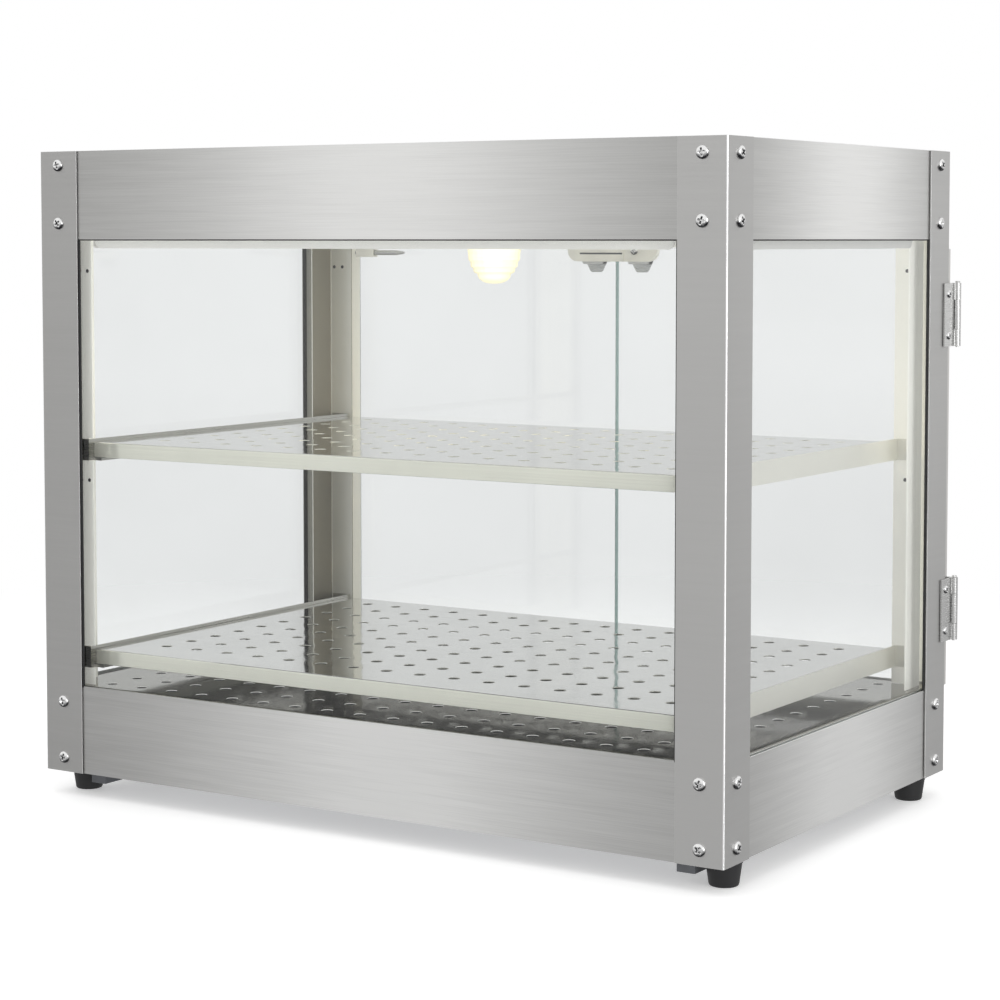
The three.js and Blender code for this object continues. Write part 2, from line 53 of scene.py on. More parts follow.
MM = 0.001
SKIN_INSET = 1.5
CASE_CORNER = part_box("base_skirt")[0] - Vector((SKIN_INSET, SKIN_INSET, 0)) * MM


def at(x, y, z):
    """A point of the case, given in millimetres, in the row frame in metres."""
    return CASE_CORNER + Vector((x, y, z)) * MM


def box_mm(node):
    """Lowest and highest corner of a CAD node, in the case's millimetres."""
    low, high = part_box(node)
    return (low - CASE_CORNER) / MM, (high - CASE_CORNER) / MM


WIDTH = box_mm("base_skirt")[1].x + SKIN_INSET
DEPTH = box_mm("base_skirt")[1].y + SKIN_INSET
HEIGHT = box_mm("top_hood")[1].z
FLOOR_Z = box_mm("foot_front_left")[0].z
POST_FLANGE, POST_SHEET, POST_BEND = 38, 1.2, 1.7
POST_SCREW_INSET = 19
POST_SCREW_HEIGHTS = (11.5, 56.5, 436.5, 482)
PANE_LOW, PANE_HIGH = 69, 424
HINGE_SHEET = 1.5

CAMERA_PLACE = (1378, -1487, 424)
CAMERA_YAW, CAMERA_PITCH = 32.48, -3.66
CAMERA_LENS, CAMERA_SENSOR, CAMERA_SHIFT = 90.43, 36, -0.1

WHITE_LIGHT = (1, 1, 1, 1)
UP, DOWN = (0, 0, 1), (0, 0, -1)
FORWARD, BACK = (0, -1, 0), (0, 1, 0)
LEFT, RIGHT = (-1, 0, 0), (1, 0, 0)


# Camera and lights


def linked(name, data):
    """A new object of the scene."""
    thing = bpy.data.objects.new(name, data)
    scene.collection.objects.link(thing)
    return thing


def add_camera():
    data = bpy.data.cameras.new("camera")
    camera = linked("camera", data)
    camera.location = at(*CAMERA_PLACE)
    yaw, pitch = math.radians(CAMERA_YAW), math.radians(CAMERA_PITCH)
    level = math.cos(pitch)
    aim = Vector((-math.sin(yaw) * level, math.cos(yaw) * level, math.sin(pitch)))
    camera.rotation_mode = "QUATERNION"
    camera.rotation_quaternion = aim.to_track_quat("-Z", "Y")
    data.sensor_width = CAMERA_SENSOR
    data.lens = CAMERA_LENS
    data.shift_y = CAMERA_SHIFT
    data.clip_start = 0.05
    data.clip_end = 60
    scene.camera = camera


def add_area_light(name, place, target, size, power, colour=(1, 1, 1), shines=False):
    data = bpy.data.lights.new(name, "AREA")
    data.shape = "RECTANGLE"
    data.size, data.size_y = size
    data.energy = power
    data.color = colour
    light = linked(name, data)
    light.location = place
    light.rotation_mode = "QUATERNION"
    light.rotation_quaternion = (Vector(target) - Vector(place)).to_track_quat("-Z", "Y")
    light.visible_camera = False
    light.visible_glossy = shines
    return light


# Node shaders


def node(tree, kind, inputs=None, **settings):
    """Adds one shader node, with its settings and its inputs as values or as sockets to link."""
    made = tree.nodes.new(kind)
    for key, value in settings.items():
        setattr(made, key, value)
    for key, value in (inputs or {}).items():
        if isinstance(value, bpy.types.NodeSocket):
            tree.links.new(value, made.inputs[key])
        else:
            made.inputs[key].default_value = value
    return made


def calc(tree, operation, a, b=0.0, clamp=False):
    made = node(tree, "ShaderNodeMath", {0: a, 1: b}, operation=operation, use_clamp=clamp)
    return made.outputs[0]


def spread(tree, value, low, high, to_low=0.0, to_high=1.0):
    """Maps value smoothly from low..high to to_low..to_high."""
    inputs = {"Value": value, "From Min": low, "From Max": high}
    inputs |= {"To Min": to_low, "To Max": to_high}
    return node(tree, "ShaderNodeMapRange", inputs, interpolation_type="SMOOTHSTEP").outputs[0]


def mix_values(tree, factor, a, b):
    made = node(tree, "ShaderNodeMix", {0: factor, 2: a, 3: b}, data_type="FLOAT")
    return made.outputs[0]


def mix_shaders(tree, factor, a, b):
    return node(tree, "ShaderNodeMixShader", {0: factor, 1: a, 2: b}).outputs[0]


def blend_colour(tree, factor, a, b, mode="MIX"):
    inputs = {0: factor, 6: a, 7: b}
    return node(tree, "ShaderNodeMix", inputs, data_type="RGBA", blend_type=mode).outputs[2]


def rgba(colour, gain=1.0):
    return (*[min(1.0, channel * gain) for channel in colour], 1.0)


def grey(level):
    return (level, level, level, 1)


def place_socket(tree):
    return node(tree, "ShaderNodeTexCoord").outputs["Object"]


def split(tree, vector):
    """The X, Y and Z sockets of a vector socket."""
    return node(tree, "ShaderNodeSeparateXYZ", {0: vector}).outputs


def normal_parts(tree):
    """The X, Y and Z of the surface normal in the object's own space."""
    return split(tree, node(tree, "ShaderNodeTexCoord").outputs["Normal"])


def grain(tree, stretch, detail=2.0, roughness=0.5):
    """Noise over the object's own metres, with a frequency for each axis."""
    mapping = node(tree, "ShaderNodeMapping", {"Vector": place_socket(tree), "Scale": stretch})
    inputs = {"Vector": mapping.outputs[0], "Scale": 1.0}
    inputs |= {"Detail": detail, "Roughness": roughness}
    return node(tree, "ShaderNodeTexNoise", inputs).outputs["Fac"]


def bumped(tree, strength, distance, height):
    inputs = {"Strength": strength, "Distance": distance, "Height": height}
    return node(tree, "ShaderNodeBump", inputs).outputs[0]


def new_material(name):
    material = bpy.data.materials.new(name)
    material.use_nodes = True
    material.node_tree.nodes.clear()
    return material, material.node_tree


def output(tree, shader):
    node(tree, "ShaderNodeOutputMaterial", {"Surface": shader})


def principled(tree, inputs):
    return node(tree, "ShaderNodeBsdfPrincipled", inputs).outputs[0]


def face_share(tree, axis, low=0.5, high=0.75):
    """1 on faces that look along an axis of the object, 0 on the others."""
    return spread(tree, calc(tree, "ABSOLUTE", normal_parts(tree)[axis]), low, high)


def bend_highlight_share(tree):
    """1 on a rounded bend or edge, where a bright highlight is painted on, and 0 on flat sheet."""
    across, along, level = (face_share(tree, axis, 0.9, 0.985) for axis in range(3))
    flat = calc(tree, "MAXIMUM", calc(tree, "MAXIMUM", across, along), level)
    return calc(tree, "SUBTRACT", 1.0, flat)


def streaks(tree, long, fine, detail=3.0):
    """Brush lines: along the wall on upright faces and along X on level ones."""
    upright = grain(tree, (long, long, fine), detail, 0.6)
    level = grain(tree, (long, fine, long), detail, 0.6)
    return mix_values(tree, face_share(tree, 2), upright, level)


def brushed_steel(name, dark, light, roughness, anisotropy, highlight_bands=None, depth=0.35,
                  metallic=1.0, side=None, glow=0.0, painted_light_behind_y=None):
    """Brushed sheet between a dark and a light tone.

    The highlight bands give the centre and half width of a painted highlight, a soft lighter band
    across each wall, along X and along Y. The side colour multiplies the colour of the faces that
    look along X, as painted shade;
    without it the rounded bends get a painted highlight. glow stands for the lamp light that
    bounces between the bright sheets inside the case, painted on as emission. Behind the Y given
    for the painted inner light, the faces that look forwards into the case lie in shade; they are
    painted pale like the inner sheets and given a painted glow.
    """
    material, tree = new_material(name)
    coarse = streaks(tree, 9.0, 260.0)
    fine = streaks(tree, 16.0, 1500.0, 1.0)
    clouds = grain(tree, (5.0, 5.0, 9.0), 2.0)
    share = 0.5
    # Painted highlight: a soft lighter band across each wall.
    if highlight_bands:
        place = split(tree, place_socket(tree))
        lobes = []
        for axis, (centre, half) in enumerate(highlight_bands):
            offset = calc(tree, "DIVIDE", calc(tree, "SUBTRACT", place[axis], centre), half)
            square = calc(tree, "MULTIPLY", calc(tree, "MULTIPLY", offset, offset), -1.0)
            lobes.append(calc(tree, "EXPONENT", square))
        share = mix_values(tree, face_share(tree, 0), *lobes)
    share = calc(tree, "ADD", share, spread(tree, coarse, 0.3, 0.7, -0.035, 0.035))
    share = calc(tree, "ADD", share, spread(tree, fine, 0.25, 0.75, -0.06, 0.06))
    share = calc(tree, "ADD", share, spread(tree, clouds, 0.3, 0.7, -0.03, 0.03), clamp=True)
    colour = blend_colour(tree, share, rgba(dark), rgba(light))
    # Painted shade: the side colour darkens the faces that look along X.
    if side:
        shaded = blend_colour(tree, 1.0, colour, rgba(side), "MULTIPLY")
        colour = blend_colour(tree, face_share(tree, 0), colour, shaded)
    # Painted highlight: otherwise the rounded bends are painted near white.
    else:
        colour = blend_colour(tree, bend_highlight_share(tree), colour, (0.95, 0.95, 0.95, 1))
    rough = spread(tree, fine, 0.25, 0.75, roughness - 0.05, roughness + 0.06)
    fine_part, coarse_part = calc(tree, "MULTIPLY", fine, 0.7), calc(tree, "MULTIPLY", coarse, 0.3)
    bump = bumped(tree, depth, 0.00006, calc(tree, "ADD", fine_part, coarse_part))
    tangent = node(tree, "ShaderNodeCombineXYZ", {0: 0.0, 1: 0.02, 2: 1.0})
    # Painted light: behind this Y the forward faces, which lie in shade, are painted pale and glow.
    if painted_light_behind_y is not None:
        forwards = spread(tree, normal_parts(tree)[1], -0.75, -0.5, 1.0, 0.0)
        behind = calc(tree, "GREATER_THAN", split(tree, place_socket(tree))[1], painted_light_behind_y)
        painted_light_mask = calc(tree, "MULTIPLY", forwards, behind)
        painted_lit_colour = blend_colour(tree, share, (0.90, 0.885, 0.81, 1), (0.95, 0.935, 0.87, 1))
        colour = blend_colour(tree, painted_light_mask, colour, painted_lit_colour)
        metallic = calc(tree, "SUBTRACT", 1.0, painted_light_mask)
        glow = calc(tree, "MULTIPLY", painted_light_mask, 0.25)
    inputs = {
        "Base Color": colour,
        "Metallic": metallic,
        "Roughness": rough,
        "Anisotropic": anisotropy,
        "Tangent": tangent.outputs[0],
        "Normal": bump,
        "Emission Color": colour,
        "Emission Strength": glow,
    }
    output(tree, principled(tree, inputs))
    return material


def polished_steel(name, colour, fold_and_painted_light, smudge, ripple, hole_glow=0.0):
    """Bright rolled sheet with faint roll lines, smudges and a slight waviness.

    The fold colour is the colour of its upright walls, which are duller; it also carries painted
    light: on the shelves a warm tint, partly their own tone and partly painted lamp light, and on
    the deck a pale painted highlight on the hole walls. hole_glow stands for the light of the case
    that reaches the walls of the holes punched inside HOLE_ZONE, painted on as emission.
    """
    material, tree = new_material(name)
    roll = streaks(tree, 6.0, 900.0)
    clouds = grain(tree, (14.0, 14.0, 14.0), 4.0, 0.6)
    wave = grain(tree, (7.0, 5.0, 7.0), 1.0)
    roll_part = spread(tree, roll, 0.3, 0.7, 0.0, 0.5)
    tone = calc(tree, "ADD", roll_part, spread(tree, clouds, 0.3, 0.7, 0.0, 0.5))
    shade = blend_colour(tree, tone, rgba(colour, 0.9), rgba(colour, 1.04))
    rough = calc(tree, "ADD", spread(tree, clouds, 0.4, 0.75, 0.0, smudge), 0.06)
    level = face_share(tree, 2)
    brushed = blend_colour(tree, tone, rgba(fold_and_painted_light, 0.93), rgba(fold_and_painted_light, 1.05))
    shade = blend_colour(tree, level, brushed, shade)
    rough = calc(tree, "ADD", rough, spread(tree, level, 0.0, 1.0, 0.25, 0.0))
    glow = 0.0
    if hole_glow:
        place = split(tree, place_socket(tree))
        inside = calc(tree, "SUBTRACT", 1.0, level)
        for axis, (centre, half) in enumerate(HOLE_ZONE):
            offset = calc(tree, "ABSOLUTE", calc(tree, "SUBTRACT", place[axis], centre))
            inside = calc(tree, "MULTIPLY", inside, calc(tree, "LESS_THAN", offset, half))
        glow = calc(tree, "MULTIPLY", inside, hole_glow)
    height = calc(tree, "ADD", wave, calc(tree, "MULTIPLY", roll, 0.01))
    inputs = {
        "Base Color": shade,
        "Metallic": spread(tree, level, 0.0, 1.0, 0.4, 1.0),
        "Roughness": rough,
        "Normal": bumped(tree, ripple, 0.0006, height),
        "Emission Color": shade,
        "Emission Strength": glow,
    }
    output(tree, principled(tree, inputs))
    return material


def screw_steel(name, dark, light):
    """Bright plated screw heads with painted shade: dark on the walls that look down and in the
    cross recess.
    """
    material, tree = new_material(name)
    scratches = grain(tree, (900.0, 900.0, 900.0), 3.0, 0.6)
    share = spread(tree, normal_parts(tree)[2], -0.38, 0.14)
    share = calc(tree, "ADD", share, spread(tree, scratches, 0.3, 0.7, -0.12, 0.12), clamp=True)
    inputs = {
        "Base Color": blend_colour(tree, share, rgba(dark), rgba(light)),
        "Metallic": 1.0,
        "Roughness": spread(tree, scratches, 0.3, 0.7, 0.14, 0.3),
        "Normal": bumped(tree, 0.2, 0.00005, scratches),
    }
    output(tree, principled(tree, inputs))
    return material


def plastic(name, colour, roughness, metallic, texture, mottle, depth=0.2):
    """Moulded plastic, rubber or plated metal: fine texture, mottled tone and uneven gloss."""
    material, tree = new_material(name)
    fine = grain(tree, (texture, texture, texture), 2.0, 0.6)
    broad = grain(tree, (45.0, 45.0, 45.0), 3.0, 0.6)
    dark, light = rgba(colour, 1 - mottle), rgba(colour, 1 + mottle)
    inputs = {
        "Base Color": blend_colour(tree, spread(tree, broad, 0.3, 0.7), dark, light),
        "Metallic": metallic,
        "Roughness": spread(tree, broad, 0.3, 0.7, roughness - 0.06, roughness + 0.08),
        "Normal": bumped(tree, depth, 0.00008, fine),
    }
    output(tree, principled(tree, inputs))
    return material


def clear_glass(name, face_axis):
    """Flat pane glass: clear faces that mirror a little, and greenish ground edges."""
    tint, edge = (0.957, 0.962, 0.962), (0.30, 0.46, 0.43)
    material, tree = new_material(name)
    smear = grain(tree, (6.0, 6.0, 10.0), 3.0)
    colour = blend_colour(tree, spread(tree, smear, 0.35, 0.7), rgba(tint), rgba(tint, 0.992))
    clear = node(tree, "ShaderNodeBsdfTransparent", {"Color": colour})
    mirror = node(tree, "ShaderNodeBsdfAnisotropic", {"Color": WHITE_LIGHT, "Roughness": 0.02})
    facing = node(tree, "ShaderNodeLayerWeight", {"Blend": 0.5}).outputs["Facing"]
    grazing = calc(tree, "MULTIPLY", calc(tree, "POWER", facing, 5.0), 0.9)
    shine = calc(tree, "ADD", grazing, 0.04)
    face = mix_shaders(tree, shine, clear.outputs[0], mirror.outputs[0])
    frost = grain(tree, (300.0, 300.0, 300.0), 2.0)
    inputs = {
        "Base Color": blend_colour(tree, frost, rgba(edge, 0.8), rgba(edge, 1.15)),
        "Roughness": 0.3,
        "Alpha": 0.8,
    }
    ground = principled(tree, inputs)
    output(tree, mix_shaders(tree, face_share(tree, face_axis), ground, face))
    return material


def lit_glass(name, colour, strength, clear_share):
    """Glowing lamp glass with pressed rings, paler and brighter where the wall faces the eye."""
    material, tree = new_material(name)
    rings = grain(tree, (30.0, 30.0, 420.0), 1.0)
    facing = node(tree, "ShaderNodeLayerWeight", {"Blend": 0.35}).outputs["Facing"]
    tone = blend_colour(tree, facing, rgba((1.0, 0.99, 0.90)), rgba(colour))
    core = spread(tree, facing, 0.0, 0.7, strength * 1.28, strength * 0.8)
    glow = calc(tree, "MULTIPLY", spread(tree, rings, 0.3, 0.7, 0.9, 1.1), core)
    inputs = {
        "Base Color": tone,
        "Roughness": 0.18,
        "Emission Color": tone,
        "Emission Strength": glow,
        "Normal": bumped(tree, 0.2, 0.0003, rings),
    }
    body = principled(tree, inputs)
    clear = node(tree, "ShaderNodeBsdfTransparent", {"Color": rgba((1.0, 0.97, 0.88))})
    output(tree, mix_shaders(tree, clear_share, body, clear.outputs[0]))
    return material


# Floor, backdrop and light


def add_floor():
    """A wide pale disc that fades into the white backdrop, and is greyer in reflections."""
    data = bpy.data.meshes.new("studio_floor")
    radii, sides = (0.4, 0.8, 1.4, 2.4, 5.0, 12.0), 64
    turn = [2 * math.pi * k / sides for k in range(sides)]
    spokes = [Vector((math.cos(a), math.sin(a), 0)) for a in turn]
    shape = bmesh.new()
    centre = at(WIDTH / 2, DEPTH / 2, FLOOR_Z)
    loops = [[shape.verts.new(centre)]]
    for radius in radii:
        loops.append([shape.verts.new(centre + spoke * radius) for spoke in spokes])
    for k in range(sides):
        shape.faces.new((loops[0][0], loops[1][k], loops[1][(k + 1) % sides]))
        for inner, outer in zip(loops[1:], loops[2:]):
            shape.faces.new((inner[k], outer[k], outer[(k + 1) % sides], inner[(k + 1) % sides]))
    shape.to_mesh(data)
    shape.free()
    floor = linked("studio_floor", data)
    material, tree = new_material("pale_floor")
    place = split(tree, place_socket(tree))
    squares = [calc(tree, "MULTIPLY", place[k], place[k]) for k in (0, 1)]
    radius = calc(tree, "SQRT", calc(tree, "ADD", *squares))
    mottle = grain(tree, (3.0, 3.0, 3.0), 3.0)
    near = principled(tree, {
        "Base Color": blend_colour(tree, mottle, grey(0.80), grey(0.84)),
        "Roughness": 0.6,
        "Emission Color": WHITE_LIGHT,
        "Emission Strength": 0.36,
    })
    far = node(tree, "ShaderNodeEmission", {"Color": WHITE_LIGHT, "Strength": 1.0})
    seen = mix_shaders(tree, spread(tree, radius, 0.55, 1.3), near, far.outputs[0])
    tone = blend_colour(tree, spread(tree, radius, 1.0, 7.0), grey(0.57), (0.89, 0.89, 0.885, 1))
    reflected = node(tree, "ShaderNodeEmission", {"Color": tone, "Strength": 1.0})
    glossy = node(tree, "ShaderNodeLightPath").outputs["Is Glossy Ray"]
    output(tree, mix_shaders(tree, glossy, seen, reflected.outputs[0]))
    data.materials.append(material)


def add_world():
    """White to the eye; in reflections, pale studio walls with a faint change round the case."""
    world = bpy.data.worlds.new("studio")
    scene.world = world
    world.use_nodes = True
    tree = world.node_tree
    tree.nodes.clear()
    direction = node(tree, "ShaderNodeTexCoord").outputs["Generated"]
    inputs = {0: direction, 1: (-0.53, 0.85, 0.0)}
    behind = node(tree, "ShaderNodeVectorMath", inputs, operation="DOT_PRODUCT").outputs["Value"]
    share = spread(tree, behind, -0.25, 0.75)
    walls = blend_colour(tree, share, (0.88, 0.88, 0.87, 1), (0.84, 0.84, 0.835, 1))
    above = spread(tree, split(tree, direction)[2], 0.2, 0.9)
    studio = blend_colour(tree, above, walls, grey(0.85))
    seen = node(tree, "ShaderNodeLightPath").outputs["Is Camera Ray"]
    colour = blend_colour(tree, seen, studio, WHITE_LIGHT)
    background = node(tree, "ShaderNodeBackground", {"Color": colour, "Strength": 1.0})
    node(tree, "ShaderNodeOutputWorld", {"Surface": background.outputs[0]})


def add_lights():
    """Soft light from above and the left, a strip for the right wall and the lamp's own glow."""
    middle = at(WIDTH / 2, DEPTH / 2, HEIGHT / 2)
    add_area_light("top_soft", at(WIDTH / 2, -300, 2300), middle, (2.4, 2.0), 12)
    add_area_light("left_soft", at(-2200, 300, 900), middle, (1.6, 1.6), 6)
    add_area_light("edge_light", at(2250, -500, 380), middle, (0.6, 1.5), 12, shines=True)
    bulb, below = at(305, 190, 386), at(305, 190, 0)
    glow = add_area_light("lamp_glow", bulb, below, (0.03, 0.03), 0.5, (1.0, 0.86, 0.6))
    glow.data.shape = "DISK"


# Mesh helpers


def new_object(name, mesh, material, body, stands_for=()):
    """A piece of the visual model: its mesh, finish, body and the CAD nodes it replaces."""
    thing = linked(name, mesh)
    mesh.materials.clear()
    mesh.materials.append(material)
    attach(thing, body)
    if stands_for:
        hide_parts(*stands_for)
    return thing


def mesh_from(shape, name, smooth=True):
    """One closed shell as a mesh, with its near points merged and its faces turned outwards."""
    bmesh.ops.remove_doubles(shape, verts=shape.verts, dist=1e-7)
    bmesh.ops.recalc_face_normals(shape, faces=shape.faces)
    mesh = bpy.data.meshes.new(name)
    shape.to_mesh(mesh)
    shape.free()
    for polygon in mesh.polygons:
        polygon.use_smooth = smooth
    return mesh


def smooth_by_angle(thing, width=0.0, angle=32):
    """Rounds the sharp edges of a piece with a small bevel and weights its normals by area."""
    if width:
        bevel = thing.modifiers.new("round", "BEVEL")
        bevel.width = width * MM
        bevel.segments = 2
        bevel.limit_method = "ANGLE"
        bevel.angle_limit = math.radians(angle)
        bevel.use_clamp_overlap = True
    weighted = thing.modifiers.new("even", "WEIGHTED_NORMAL")
    weighted.keep_sharp = False
    weighted.weight = 80


def turned(profile, sides=32):
    """A closed turned shape about Z from (radius, height) pairs in millimetres."""
    shape = bmesh.new()
    turn = [2 * math.pi * k / sides for k in range(sides)]
    loops = []
    for radius, height in profile:
        angles = turn if radius > 1e-6 else turn[:1]
        ring = [Vector((math.cos(a) * radius, math.sin(a) * radius, height)) * MM for a in angles]
        loops.append([shape.verts.new(point) for point in ring])
    for below, above in zip(loops, loops[1:]):
        for k in range(sides):
            ring = [below[k % len(below)], below[(k + 1) % len(below)]]
            ring += [above[(k + 1) % len(above)], above[k % len(above)]]
            corners = list(dict.fromkeys(ring))
            if len(corners) > 2:
                shape.faces.new(corners)
    return shape


def carved(shape, cutters, name):
    """shape with each cutter taken out of it, as a mesh."""
    body = linked(name, mesh_from(shape, name))
    tools = []
    for index, cutter in enumerate(cutters):
        tool = linked(f"{name}_tool_{index}", mesh_from(cutter, "tool", False))
        cut = body.modifiers.new("cut", "BOOLEAN")
        cut.operation = "DIFFERENCE"
        cut.solver = "EXACT"
        cut.object = tool
        tools.append(tool)
    bpy.context.view_layer.update()
    graph = bpy.context.evaluated_depsgraph_get()
    mesh = bpy.data.meshes.new_from_object(body.evaluated_get(graph))
    mesh.name = name
    for thing in (body, *tools):
        bpy.data.objects.remove(thing)
    return mesh


def tapered_bar(length, width, top, bottom, taper):
    """A bar along X for a driver slot: full size at the top and smaller at the bottom."""
    shape = bmesh.new()
    rings = []
    for height, scale in ((top, 1.0), (bottom, taper)):
        a, b = length / 2 * scale, width / 2 * scale
        corners = ((-a, -b), (a, -b), (a, b), (-a, b))
        rings.append([shape.verts.new(Vector((x, y, height)) * MM) for x, y in corners])
    shape.faces.new(rings[0])
    shape.faces.new(reversed(rings[1]))
    for k in range(4):
        shape.faces.new((rings[0][k], rings[0][(k + 1) % 4], rings[1][(k + 1) % 4], rings[1][k]))
    return shape


def screw_mesh(radius, height, name):
    """A pan head with a cross recess, standing on Z 0."""
    dome = ((1, 0.12), (0.99, 0.4), (0.93, 0.66), (0.78, 0.86), (0.5, 0.97), (0.25, 1), (0, 1))
    profile = [(0, -0.2), (radius * 0.98, -0.2)] + [(radius * r, height * z) for r, z in dome]
    size = (radius * 1.22, radius * 0.30, height + 0.5, height * 0.25, 0.55)
    bar, across = tapered_bar(*size), tapered_bar(*size)
    quarter = Matrix.Rotation(math.pi / 2, 3, "Z")
    bmesh.ops.rotate(across, verts=across.verts, cent=(0, 0, 0), matrix=quarter)
    return carved(turned(profile, 28), [bar, across], name)


def scattered(template, places, name, rng):
    """Copies of a template, each at a point with its Z along a direction and turned at random."""
    shape = bmesh.new()
    for point, direction in places:
        known = set(shape.verts)
        shape.from_mesh(template)
        fresh = [v for v in shape.verts if v not in known]
        turn = Vector(direction).to_track_quat("Z", "Y").to_matrix().to_4x4()
        spin = Matrix.Rotation(rng.uniform(0, math.pi), 4, "Z")
        bmesh.ops.transform(shape, matrix=Matrix.Translation(point) @ turn @ spin, verts=fresh)
    mesh = bpy.data.meshes.new(name)
    shape.to_mesh(mesh)
    shape.free()
    return mesh


def placed(shape, centre, direction=UP, spin=0.0):
    """The shape moved from the origin to a point, with its Z along a direction."""
    turn = Vector(UP).rotation_difference(Vector(direction)).to_matrix().to_4x4()
    matrix = Matrix.Translation(centre) @ turn @ Matrix.Rotation(spin, 4, "Z")
    bmesh.ops.transform(shape, matrix=matrix, verts=shape.verts)
    return shape


def merged(*shapes):
    """Several shapes in one, each kept as its own shell."""
    whole = bmesh.new()
    for shape in shapes:
        bmesh.ops.remove_doubles(shape, verts=shape.verts, dist=1e-7)
        bmesh.ops.recalc_face_normals(shape, faces=shape.faces)
        part = bpy.data.meshes.new("part")
        shape.to_mesh(part)
        shape.free()
        whole.from_mesh(part)
        bpy.data.meshes.remove(part)
    return whole


def mesh_of(shape, name):
    """A merged shape as a smooth mesh, with its shells left as they are."""
    mesh = bpy.data.meshes.new(name)
    shape.to_mesh(mesh)
    shape.free()
    for polygon in mesh.polygons:
        polygon.use_smooth = True
    return mesh


def prism(points, low, high):
    """An outline in X and Y, in millimetres, raised from low to high along Z."""
    shape = bmesh.new()
    rings = [[shape.verts.new(Vector((x, y, z)) * MM) for x, y in points] for z in (low, high)]
    shape.faces.new(rings[1])
    shape.faces.new(reversed(rings[0]))
    for k in range(len(points)):
        n = (k + 1) % len(points)
        shape.faces.new((rings[0][k], rings[0][n], rings[1][n], rings[1][k]))
    return shape


def upright(points, low, high):
    """An outline given in the case's own X and Y, raised from low to high."""
    return placed(prism(points, low, high), at(0, 0, 0))


def fluted(profile, flutes, depth, first, last, sides=8):
    """A turned shape whose rings from first to last have rounded grooves round them."""
    shape = turned(profile, flutes * sides)
    levels = [height * MM for _, height in profile[first:last + 1]]
    for vertex in shape.verts:
        if min(abs(vertex.co.z - z) for z in levels) < 1e-7 and vertex.co.xy.length > 1e-6:
            angle = math.atan2(vertex.co.y, vertex.co.x)
            groove = max(0.0, math.cos(angle * flutes)) ** 0.7
            radius = vertex.co.xy.length
            vertex.co.x *= 1 - depth * MM * groove / radius
            vertex.co.y *= 1 - depth * MM * groove / radius
    return shape


def corner_outline(flange, sheet, bend):
    """An angle section with its outer corner at the origin and a round bend."""
    steps = 6
    arc = [math.pi / 2 * k / steps for k in range(steps + 1)]
    outer = [(bend - bend * math.cos(a), bend - bend * math.sin(a)) for a in arc]
    small = bend - sheet
    inner = [(bend - small * math.cos(a), bend - small * math.sin(a)) for a in reversed(arc)]
    return [(0, flange), *outer, (flange, 0), (flange, sheet), *inner, (sheet, flange)]


def cuboid(low, high):
    """A box between two corners given in the case's millimetres."""
    shape = bmesh.new()
    bmesh.ops.create_cube(shape, size=1.0)
    size = (high - low) * MM
    centre = at(*((low + high) / 2))
    matrix = Matrix.Translation(centre) @ Matrix.Diagonal((*size, 1))
    bmesh.ops.transform(shape, matrix=matrix, verts=shape.verts)
    return shape


# Perforated trays


def cell_border(half_x, half_y, sides):
    """Points of a cell's rim at even turns, so that neighbouring cells share them."""
    points = []
    for k in range(sides):
        a = 2 * math.pi * (k + 0.5) / sides
        c, s = math.cos(a), math.sin(a)
        if abs(c) * half_y >= abs(s) * half_x:
            points.append((math.copysign(half_x, c), half_x * s / abs(c)))
        else:
            points.append((half_y * c / abs(s), math.copysign(half_y, s)))
    return points


